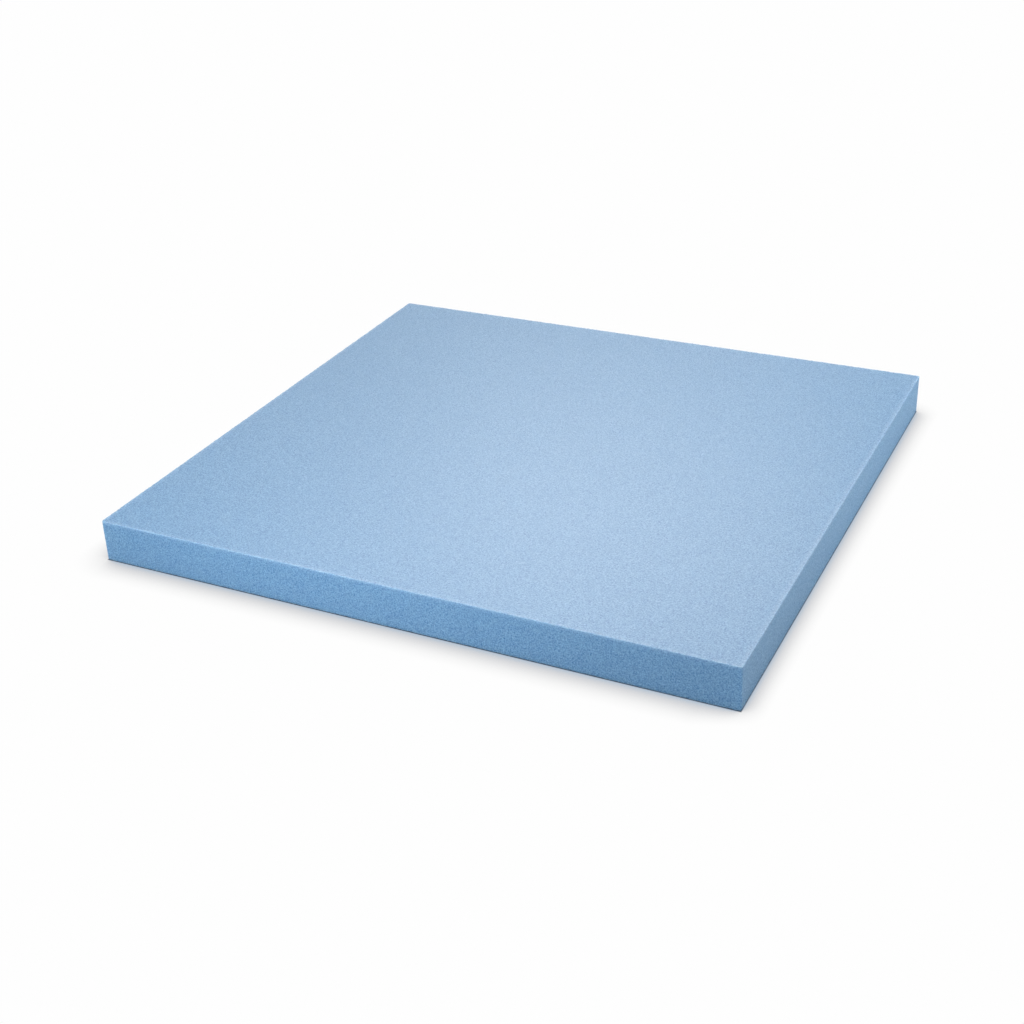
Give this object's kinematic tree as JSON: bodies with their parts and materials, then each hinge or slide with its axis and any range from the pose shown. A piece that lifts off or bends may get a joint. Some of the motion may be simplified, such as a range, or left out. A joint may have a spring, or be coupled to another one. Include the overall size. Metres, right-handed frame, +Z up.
{
  "type": "foam slab",
  "caption": "Flat, nearly square slab of light blue open-cell foam with straight cut sides and crisp edges.",
  "frame": {"origin": "centre of the underside, on which the slab rests", "axes": "+Z up through the thickness, +X along the longer side, +Y along the shorter side"},
  "size_m": [0.6, 0.575, 0.04],
  "materials": {
    "blue_foam": "fine open-cell foam, cut face, matt"
  },
  "bodies": {
    "root": {"foam_slab": "blue_foam"}
  },
  "joints": []
}
